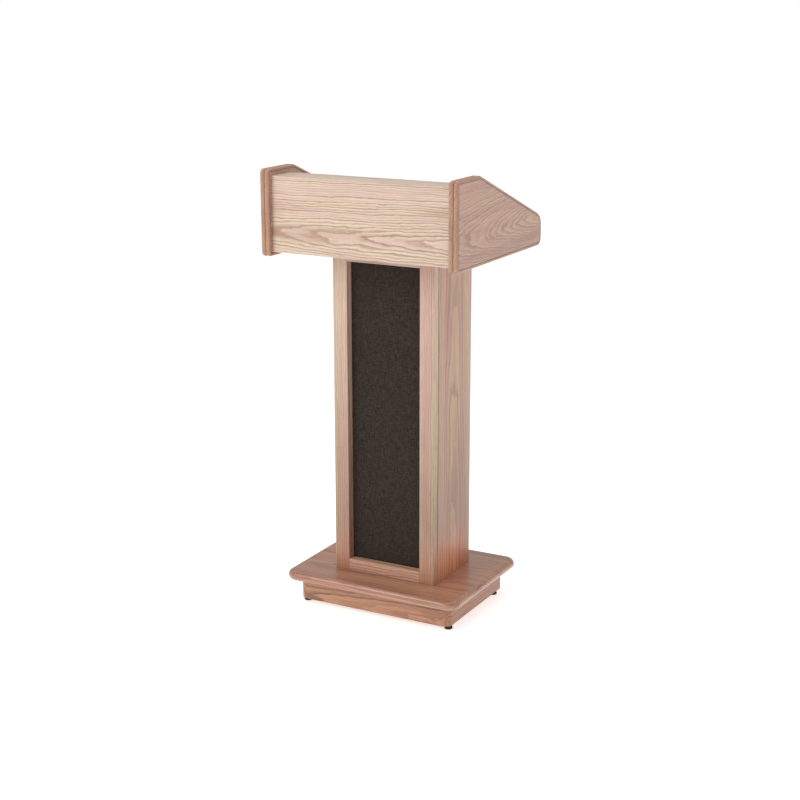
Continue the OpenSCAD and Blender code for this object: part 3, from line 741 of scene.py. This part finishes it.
def glides():
    """Levelling glides: a nylon pad with a hex collar, on a threaded stem."""
    for node in GLIDES:
        centre = middle(node)
        place = at((centre.x, centre.y, 0), UPWARD)
        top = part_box(node)[1].z / MM
        pad = rounded([(0, 0), (9.8, 0), (11, 1.2), (11, 5.2), (8.6, 8), (0, 8)], 0.9)
        build = Build().turned(pad, place, 64)
        build.prism(hexagon(7), 7.6, 11.4, place, 0.4)
        hardware(node + "_pad", build, "nylon", [node], node)
        stem = [(0, 11.2)] + threaded(4, 11.4, top - 1, 1.25) + [(3, top), (0, top)]
        hardware(node + "_stem", Build().turned(stem, place, 24), on=node)


def assembly_screws():
    """Screws up through the base plate into the column's lower cleats, and up through its upper
    cleats into the head's bottom."""
    low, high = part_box("assembly_screws")
    head, shank = 4.5, 2.15
    half, front, rear = high.x - head * MM, low.y + head * MM, high.y - head * MM
    panel_low, panel_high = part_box("head_bottom_panel")
    cleat_z = middle("head_bottom_panel").z - (panel_high.z - panel_low.z) * 1.5
    spots = [(x, y) for x in (-half, half) for y in (front, rear)]
    build = Build()
    build.copies(screw(head, 3, shank, 40, True), [at((x, y, low.z), DOWNWARD) for x, y in spots])
    build.copies(screw(head, 2.5, shank, 36.5),
                 [at((x, y, cleat_z - 2.5 * MM), DOWNWARD) for x, y in spots])
    hardware("assembly_screw_set", build, replaces=["assembly_screws"])


# ---------------- loudspeakers
DRIVER_R = 54
DRIVER_SCREWS_R = 51


def driver_places():
    low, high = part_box("driver_frames")
    y = low.y + 3 * MM  # the rear of the flanges
    first, last = low.z + DRIVER_R * MM, high.z - DRIVER_R * MM
    return [at((0, y, first + (last - first) * k / 3)) for k in range(4)]


def loudspeakers():
    places = driver_places()
    cone = [(0, 15.6), (5, 16.2), (9, 17.6), (12, 19.4), (13, 20)]
    for k in range(1, 25):
        t = k / 24
        rib = 0.25 * math.sin(t * 22) * (t < 0.9)
        cone.append((13 + 25 * t, 20 * (1 - t) ** 0.85 + rib))
    cone += [(radius, z + 0.8) for radius, z in cone[:4:-1]]
    cone += [(12.7, 21), (12.7, 26), (12, 26), (12, 20.4), (8.6, 18.4), (0, 16.4)]
    paper, ring, magnet, plate = (Build() for _ in range(4))
    arcs = [math.pi + math.pi * k / 12 for k in range(13)]
    roll = [(40.5 + 2.5 * math.cos(a), 2.5 * math.sin(a)) for a in arcs]
    roll = [(37.6, 0)] + roll + [(44.5, 0), (44.5, 0.7), (42.2, 0.7)]
    roll += [(40.5 + 1.7 * math.cos(a), 1.7 * math.sin(a)) for a in arcs[::-1]] + [(37.6, 0.7)]
    core = rounded([(0, 32), (30.4, 32), (31, 32.6), (31, 46.4), (30.4, 47), (0, 47)], 0.5)
    back = rounded([(0, 46.9), (28, 46.9), (28, 51), (9, 51), (6, 48.6), (0, 48.6)], 0.8)
    for place in places:
        paper.turned(cone, place, 96)
        ring.turned(roll, place, 96, closed=True)
        magnet.turned(core, place, 72)
        plate.turned(back, place, 72)
    hardware("driver_cone_set", paper, "cone_paper", ["driver_cones"])
    hardware("driver_surround_set", ring, "rubber", ["driver_surrounds"])
    hardware("driver_magnet_set", magnet, "ferrite", ["driver_magnets"])
    hardware("driver_back_plates", plate)


def speaker_lead():
    """Twin lead clipped down the chamber, with a branch to each driver."""
    low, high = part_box("speaker_lead")
    wire = 1.1
    x, y, top = low.x / MM + 2 * wire, low.y / MM + 2 * wire, high.z / MM - 2 * wire
    end_x, end_y = high.x / MM, high.y / MM
    levels = [place.translation.z / MM for place in driver_places()]
    place = Matrix.Scale(MM, 4)
    build = Build()
    for step in (-0.75, 0.75):
        u, v = x + step, y + step
        run = [(u, v, levels[0] + 8), (u, v, top + step), (u, end_y, top + step)]
        build.tube(rounded(run, 12, 8), wire, place)
        for z in levels:
            branch = [(u, v, z + 9), (u, v, z), (end_x, v, z)]
            build.tube(rounded(branch, 7, 8), wire, place)
    hardware("speaker_twin_lead", build, "cable", ["speaker_lead"])


# ---------------- door fittings
def door_fittings():
    low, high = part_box("door_pull")
    x, z = (low.x + high.x) / 2, (low.z + high.z) / 2
    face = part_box("rear_door")[1].y
    pull = rounded([(0, 0), (9, 0), (9, 3), (6, 6.5), (6, 11.5), (13, 16.5), (14, 20), (13, 23),
                    (9, 25), (0, 25.5)], 2.4, 8)
    hardware("door_pull_knob", Build().turned(pull, at((x, face, z)), 72), "door_pull",
             ["door_pull"], "door_pull", angle=50)
    build = Build().copies(screw(5, 3.4, 2.15, 22.5), [at((x, low.y, z), FORWARD)])
    hardware("door_pull_screw", build, on="door_pull")

    low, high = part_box("lock_body")
    z = (low.z + high.z) / 2
    depth = (low.y - face) / MM
    case = rounded([(6.05, depth), (9.5, depth), (9.5, 0), (12, 0), (12, 0.9), (10.4, 2),
                    (6.9, 2), (6.05, 1.5)], 0.35)
    build = Build().turned(case, at((x, face, z)), 72, closed=True)
    hardware("lock_case", build, "nickel_plate", ["lock_body"], "lock_body")
    eased("lock_cam", "nickel_plate", 0.25 * MM, 1 * MM, 2)

    # Catch under the shelf, with its two pole strips, and the strike on the door
    low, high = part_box("magnetic_catch")
    u, v, w = (high - low) / MM
    place = at(low, UPWARD)
    build = Build().block((0, 0, 0), (u, v - 0.9, w), place, 1.2)
    hardware("catch_case", build, "catch_plastic", ["magnetic_catch"])
    build = Build()
    for strip in (3.2, 9.4):
        build.block((4, v - 6, strip), (u - 4, v, strip + 1.4), place, 0.2)
    hardware("catch_poles", build, "nickel_plate")
    eased("catch_strike", "nickel_plate", 0.3 * MM, 1 * MM, 2)
    spot = middle("catch_strike")
    build = Build().copies(screw(2.6, 1.4, 1.2, 6, True),
                           [at((spot.x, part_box("catch_strike")[0].y - 0.1 * MM, spot.z), FORWARD)])
    hardware("strike_screw", build, on="catch_strike")


HINGE_HALF = 30
LEAF = 1
SCREW_PROUD = 0.1
LEAF_SCREWS = ((-11, -21), (-6.5, 0), (-11, 21))  # from the door's face and from mid-height


def hinges():
    leaf_screw = screw(2.5, 1.4, 1.1, 10, True)
    low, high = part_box("hinge_frame_leaves")
    centres = (low.z + HINGE_HALF * MM, high.z - HINGE_HALF * MM)
    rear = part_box("rear_door")[1].y
    axis = middle("hinge_pins")
    for node, way, turn in (("hinge_frame_leaves", -1, RIGHTWARD),
                            ("hinge_door_leaves", 1, LEFTWARD)):
        eased(node, "brass", 0.25 * MM, 1 * MM, 2)
        x = axis.x + way * (LEAF - SCREW_PROUD) * MM
        spots = [at((x, rear + y * MM, z + dz * MM), turn)
                 for z in centres for y, dz in LEAF_SCREWS]
        hardware(node + "_screws", Build().copies(leaf_screw, spots), "brass", on=node)
    build = Build()
    finial = [(0, -2), (1.6, -2), (3, -1.2), (3.2, 0), (2, 0)]
    pin = finial + [(2, 60), (3.2, 60), (3, 61.2), (1.6, 62), (0, 62)]
    for z in centres:
        build.turned(rounded(pin, 0.5), at((axis.x, axis.y, z - HINGE_HALF * MM), UPWARD), 32)
    hardware("hinge_pin_set", build, "brass", ["hinge_pins"])


# ---------------- amplifier
KNOBS = ("knob_mic", "knob_aux", "knob_tone")
KNOB_FLUTES = 24
KNOB_TURN = 150
SCALE_MARKS = 11
SCALE_R = 13.4


def fluted(angle, z):
    """Flutes along a knob's side, which run out at its ends."""
    depth = min(max((z - 4.2) / 1.2, 0), 1) * min(max((15.2 - z) / 1.2, 0), 1)
    return 1 - 0.045 * depth * (0.5 + 0.5 * math.cos(KNOB_FLUTES * angle)) ** 2


def knobs(face):
    skirt = rounded([(0, 0.8), (12, 0.8), (12, 2.4), (10.6, 3.8), (0, 3.8)], 0.5)
    side = [(10 - k / 12, 3.8 + k) for k in range(1, 12)]
    top = [(9, 15.8), (7.6, 15.8), (7, 15.3), (0, 15.1)]
    body = rounded([(0, 3.7), (10, 3.7)] + side + top, 0.5)
    stem = [(0, -11), (3, -11), (3, 0.9), (0, 0.9)]
    marks = Build()
    for node in KNOBS:
        centre = middle(node)
        place = at((centre.x, face, centre.z))
        build = Build().turned(skirt, place, 96)
        build.turned(body, place, 192, shape=fluted).turned(stem, place, 32)
        hardware(node + "_body", build, "knob_plastic", [node], node)
        pointer = Build().block((-0.5, -8.9, 15.4), (0.5, -2.2, 15.95), place, 0.12)
        pointer.block((-0.5, -11.4, 3.2), (0.5, -10, 3.95), place, 0.12)
        hardware(node + "_pointer", pointer, "panel_print", on=node)
        for k in range(SCALE_MARKS):
            angle = 2 * KNOB_TURN * k / (SCALE_MARKS - 1) - KNOB_TURN
            turn = Matrix.Rotation(math.radians(angle), 4, "Z")
            length = 3.0 if k % 5 == 0 else 1.8
            marks.block((-0.3, -SCALE_R - length, -0.1), (0.3, -SCALE_R, 0.08), place @ turn)
    hardware("knob_scales", marks, "panel_print")


def sockets(face):
    low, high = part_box("jack_sockets")
    z = (low.z + high.z) / 2
    nut_r = 7.5
    nuts, linings = Build(), Build()
    barrel = [(3.25, -26), (4.9, -26), (4.9, 2.4), (4.4, 3), (3.6, 3), (3.25, 2.7)]
    lining = [(2.8, 2.2), (3.24, 2.2), (3.24, -24), (0, -24), (0, -22), (2.8, -22)]
    for x in (low.x + nut_r * MM, high.x - nut_r * MM):
        place = at((x, face, z))
        nut = Build().prism(hexagon(nut_r), 0.1, 2, place, 0.25)
        bore = Build().turned([(0, -1), (4.8, -1), (4.8, 4), (0, 4)], place, 48)
        nuts.copies(carved(nut.mesh(), bore.mesh()), [UPWARD])
        nuts.turned(barrel, place, 48, closed=True)
        linings.turned(lining, place, 40)
    hardware("jack_nuts", nuts, "nickel_plate", replaces=["jack_sockets"])
    hardware("jack_linings", linings, "black_plastic")

    low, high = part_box("mains_inlet")
    place = at(((low.x + high.x) / 2, face, z))
    shell = Build().prism(round_rect(48, 24, 5), 0, 2.5, place, 0.5)
    shell.block((-14, -10, -20), (14, 10, 0.2), place)
    mouth = [(-12, -8), (12, -8), (12, 4), (8, 8), (-8, 8), (-12, 4)]
    hollow = Build().prism(mouth, -16, 4, place)
    build = Build().copies(carved(shell.mesh(), hollow.mesh()), [UPWARD])
    hardware("inlet_shell", build, "black_plastic", ["mains_inlet"])
    pins = Build()
    for x, y in ((-7, 2), (0, -2), (7, 2)):
        pins.block((x - 1, y - 2, -16.5), (x + 1, y + 2, -3), place, 0.4)
    hardware("inlet_pins", pins, "nickel_plate")
    build = Build().copies(screw(2.6, 1.4, 1.2, 9, True),
                           [place @ Matrix.Translation((x, 0, 2.6)) for x in (-19, 19)])
    hardware("inlet_screws", build)


ROCKER_REST = -8  # degrees from the middle, as in the CAD model


def switch(face):
    eased("rocker_housing", "black_plastic", 0.6 * MM, 1.5 * MM)
    eased("power_rocker", "knob_plastic", 0.5 * MM, 1.5 * MM)
    centre = middle("rocker_housing")
    pivot = Matrix.Translation((centre.x, face - 2 * MM, centre.z))
    tilt = Matrix.Rotation(math.radians(ROCKER_REST), 4, "X")
    slope = math.atan2(3, 10.5)  # of each half of the rocker's face
    build = Build()
    for way in (1, -1):
        seat = Matrix.Translation(Vector((0, 5.5, 5.4 * way)) * MM)  # the face's middle
        lean = Matrix.Rotation(-slope * way, 4, "X")
        place = pivot @ tilt @ seat @ lean @ REARWARD @ Matrix.Scale(MM, 4)
        if way == 1:
            build.block((-0.35, -1.7, -0.1), (0.35, 1.7, 0.08), place)
        else:
            build.turned([(1.2, -0.1), (1.8, -0.1), (1.8, 0.08), (1.2, 0.08)], place, 32,
                         closed=True)
    hardware("rocker_marks", build, "panel_print", on="power_rocker")

    centre = middle("pilot_lens")
    place = at((centre.x, face, centre.z))
    lens = rounded([(0, -8), (3, -8), (3, 0), (3.7, 0.1), (3.7, 2), (2.9, 3.1), (0, 3.6)], 0.6)
    hardware("pilot_jewel", Build().turned(lens, place, 40), "lens", ["pilot_lens"])
    bezel = rounded([(3.75, 0), (4.5, 0), (4.5, 0.8), (4.2, 1.6), (3.75, 1.6)], 0.2)
    hardware("pilot_bezel", Build().turned(bezel, place, 48, closed=True), "nickel_plate")


def circuit_board():
    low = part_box("amp_board")[0]
    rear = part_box("amp_faceplate")[0].y
    place = at((0, 0, low.z), UPWARD)
    front_y, back_y = low.y / MM, rear / MM - 32
    half, thick = 100, 1.6
    board = Build().block((-half, front_y, 0), (half, back_y, thick), place, 0.15)
    hardware("board_laminate", board, "circuit", ["amp_board"])
    pots, cans, dark = Build(), Build(), Build()  # dark: the heat sink and three chips
    for node in KNOBS:
        centre = middle(node)
        spot = at((centre.x, rear, centre.z))
        pots.turned(rounded([(3.1, -12), (8, -12), (8, -3), (4.6, -3), (4.6, -0.2), (4.4, 0),
                             (4.4, 2.9), (3.1, 2.9)], 0.4), spot, 48, closed=True)
    can = rounded([(0, 1.6), (8.6, 1.6), (9, 2.2), (8.4, 3.6), (9, 5), (9, 30.8), (8.4, 31.6),
                   (0, 31.2)], 0.5)
    for x in (-80, -55):
        cans.turned(can, at((x * MM, rear - 60 * MM, low.z), UPWARD), 48)
    for k in range(6):
        cans.turned(rounded([(0, 1.6), (3, 1.6), (3, 11), (0, 11.2)], 0.4),
                    at(((-28 + 8 * k) * MM, rear - 42 * MM, low.z), UPWARD), 24)
    for y in range(0, 25, 6):
        dark.block((20, front_y + 5 + y, 5), (80, front_y + 7 + y, 41.6), place, 0.3)
    dark.block((20, front_y + 5, thick), (80, front_y + 31, 5.2), place, 0.3)
    for k in range(3):
        dark.block((-34 + 16 * k, front_y + 8, 2.2), (-24 + 16 * k, front_y + 28, 5.4), place, 0.4)
    hardware("board_pots", pots, "nickel_plate")
    hardware("board_capacitors", cans, "capacitor_sleeve")
    hardware("board_heat_sink", dark, "speaker_steel")


def panel_screws():
    low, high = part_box("panel_screws")
    head = 3.4
    spots = [at((x, high.y, z)) for x in (low.x + head * MM, high.x - head * MM)
             for z in (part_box("amp_faceplate")[0].z + 7 * MM, high.z - head * MM)]
    build = Build().copies(screw(head, 2, 1.8, 17), spots)
    around = [place @ Matrix.Rotation(math.radians(45 + 90 * k), 4, "Z")
              @ Matrix.Translation((DRIVER_SCREWS_R, 0, -5)) @ DOWNWARD
              for place in driver_places() for k in range(4)]
    build.copies(screw(2.9, 2, 1.6, 16), around)
    hardware("panel_screw_set", build, replaces=["panel_screws"])


# ---------------- assembly
make_camera()
make_studio()

# The boards' materials, then those of the cloth and the fittings
HEAD_SIDE = {"spacing": 0.0055, "tilt": -0.12, "wiggle": 0.003, "contrast": 0.7}
# The column sides get painted shade that deepens towards the floor, and painted warm bounce light
# from the base plate just above it
COLUMN_SIDE = {"spacing": 0.0085, "wander": 0.014, "contrast": 0.7, "streaks": 1.0,
               "painted_floor_shade": 0.65, "painted_bounce_light": 0.8}
PAINT = {paint.name.removeprefix("paint_"): paint for paint in (
    oak("front_panel", X, Y, *HEAD, 1, (1.035, -0.205), spacing=0.0055, tilt=0.04, wander=0.010,
        wiggle=0.0032, contrast=1.15, patches=0.7),
    oak("ledge", X, Z, *HEAD, 2, (-0.15, 1.1)),
    oak("reading_surface", X, Z, *HEAD, 3, (0.07, 1.02), spacing=0.007, tilt=0.05, contrast=0.95,
        streaks=0.4),
    oak("head_side_right", Y, X, *SIDE, 4, (1.05, 0.2315), **HEAD_SIDE),
    oak("head_side_left", Y, X, *SIDE, 16, (1.05, -0.215), **HEAD_SIDE),
    oak("head_rear", X, Y, *SIDE, 5, (0.94, 0.2)),
    oak("head_bottom", X, Z, *SIDE, 6, (0.02, 1.04), spacing=0.008),
    oak("moulding", X, Z, *TRIM, 7, (0.05, -0.03), spacing=0.005, contrast=0.5, moulded=True),
    oak("book_stop", X, Z, *TRIM, 17, (0.22, 1.0)),
    oak("column_right", Z, X, *FLANK, 8, (0.0, 0.10), tilt=0.03, **COLUMN_SIDE),
    oak("column_left", Z, X, *FLANK, 18, (0.01, -0.10), tilt=0.02, **COLUMN_SIDE),
    # Stile and rails get the same painted shade towards the floor and painted bounce light above the
    # base plate; the door gets only the painted shade
    oak("stile", Z, Y, *COLUMN, 9, (0.0, -0.06), tilt=0.01, wander=0.008, contrast=0.6,
        streaks=1.0, painted_floor_shade=0.85, painted_bounce_light=0.35),
    oak("rail", X, Y, *COLUMN, 10, (0.03, -0.06), painted_floor_shade=0.35, painted_bounce_light=0.3),
    oak("door", Z, Y, *COLUMN, 11, (0.02, 0.03), spacing=0.007, tilt=0.05, contrast=0.7,
        streaks=0.9, painted_floor_shade=0.4),
    oak("shelf", X, Z, *COLUMN, 12, (0.02, 0.25)),
    oak("base_plate", X, Z, *BASE, 13, (-0.06, -0.05), spacing=0.0075, wiggle=0.0018,
        contrast=0.75, patches=0.6, lacquer=0.8),
    oak("plinth_long", X, Y, *BASE, 14, (0.02, -0.12), spacing=0.005, wander=0.01),
    oak("plinth_short", Y, X, *BASE, 15, (-0.03, 0.17), spacing=0.005, wander=0.01),
    oak("pine", X, Z, *PINE, 19, (0.0, -0.1), spacing=0.0045, contrast=0.7, streaks=0.3,
        patches=0.2),
    oak("door_pull", Y, Z, *TRIM, 20, (0.05, 0.44), spacing=0.0035),
    grille_cloth_paint(),
    surface("zinc_plate", (186, 188, 192), 0.34, metal=1, mottle=0.22, cloud=35),
    surface("nickel_plate", (200, 197, 190), 0.22, metal=1, mottle=0.12, cloud=60, fine=500),
    surface("brass", (206, 172, 106), 0.36, metal=1, mottle=0.08, cloud=60, fine=700,
            depth=0.01 * MM),
    galvanised(),
    surface("powder_coat", (40, 41, 43), 0.5, mottle=0.25, cloud=25, fine=1500, depth=0.08 * MM),
    surface("panel_print", (214, 213, 206), 0.5, mottle=0.08, cloud=200, fine=1500),
    surface("black_plastic", (30, 30, 32), 0.42, cloud=60, fine=1100),
    surface("knob_plastic", (24, 24, 26), 0.3, fine=1300),
    surface("nylon", (28, 28, 28), 0.55, mottle=0.3, cloud=120, fine=700, depth=0.06 * MM),
    surface("capacitor_sleeve", (30, 40, 74), 0.3),
    surface("cable", (26, 25, 25), 0.5, mottle=0.25, cloud=150),
    surface("catch_plastic", (98, 64, 40), 0.4, mottle=0.25, cloud=80),
    surface("black_board", (36, 34, 33), 0.8, mottle=0.4, cloud=60, fine=(120, 900, 500),
            depth=0.15 * MM),
    surface("speaker_steel", (44, 45, 47), 0.38, mottle=0.25, cloud=60, fine=800,
            depth=0.05 * MM),
    surface("rubber", (30, 30, 30), 0.7, mottle=0.3, fine=600, depth=0.05 * MM),
    surface("ferrite", (66, 66, 68), 0.62, mottle=0.35, fine=700, depth=0.1 * MM),
    cone_paper(),
    solder_mask(),
    surface("lens", (178, 24, 14), 0.12, mottle=0.35, cloud=500, depth=0.05 * MM,
            Coat_Weight=0.6, Coat_Roughness=0.05),
)}

for side in ("left", "right"):
    head_moulding(side)
    eased("head_side_" + side, "head_side_" + side, 0.6 * MM, 1 * MM)
    eased("column_side_" + side, "column_" + side, 0.3 * MM)
    eased("stile_front_" + side, "stile", 0.4 * MM, 1 * MM)
    eased("plinth_" + side, "plinth_short")
for slot, boards in {
    "oak_head": {"head_front_panel": "front_panel", "head_ledge": "ledge",
                 "reading_surface": "reading_surface", "head_rear_board": "head_rear",
                 "head_bottom_panel": "head_bottom"},
    "oak_column": {"rear_stiles": "stile", "front_rails": "rail", "rear_rails": "rail",
                   "rear_door": "door", "column_shelf": "shelf"},
    "oak_base": {"plinth_front": "plinth_long", "plinth_rear": "plinth_long"},
    "oak_edge": {"book_stop": "book_stop"},
}.items():
    for node, paint in boards.items():
        eased(node, paint)
base_plate()
grille_cloth()

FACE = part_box("amp_faceplate")[1].y
eased("glue_blocks", "pine", 0.6 * MM, 2 * MM, 2)
eased("amp_faceplate", "powder_coat", 0.5 * MM, 12 * MM, 2)
glides()
assembly_screws()
loudspeakers()
speaker_lead()
door_fittings()
hinges()
knobs(FACE)
sockets(FACE)
switch(FACE)
circuit_board()
panel_screws()
# CAD nodes that stay visible, in better materials
for node, paint in {
    "glide_inserts": "brass", "grille_frame": "black_board", "grille_studs": "black_plastic",
    "speaker_baffle": "black_board", "driver_frames": "speaker_steel",
    "amp_chassis": "galvanised",
}.items():
    for material_slot in NODES[node].material_slots:
        material_slot.material = PAINT[paint]
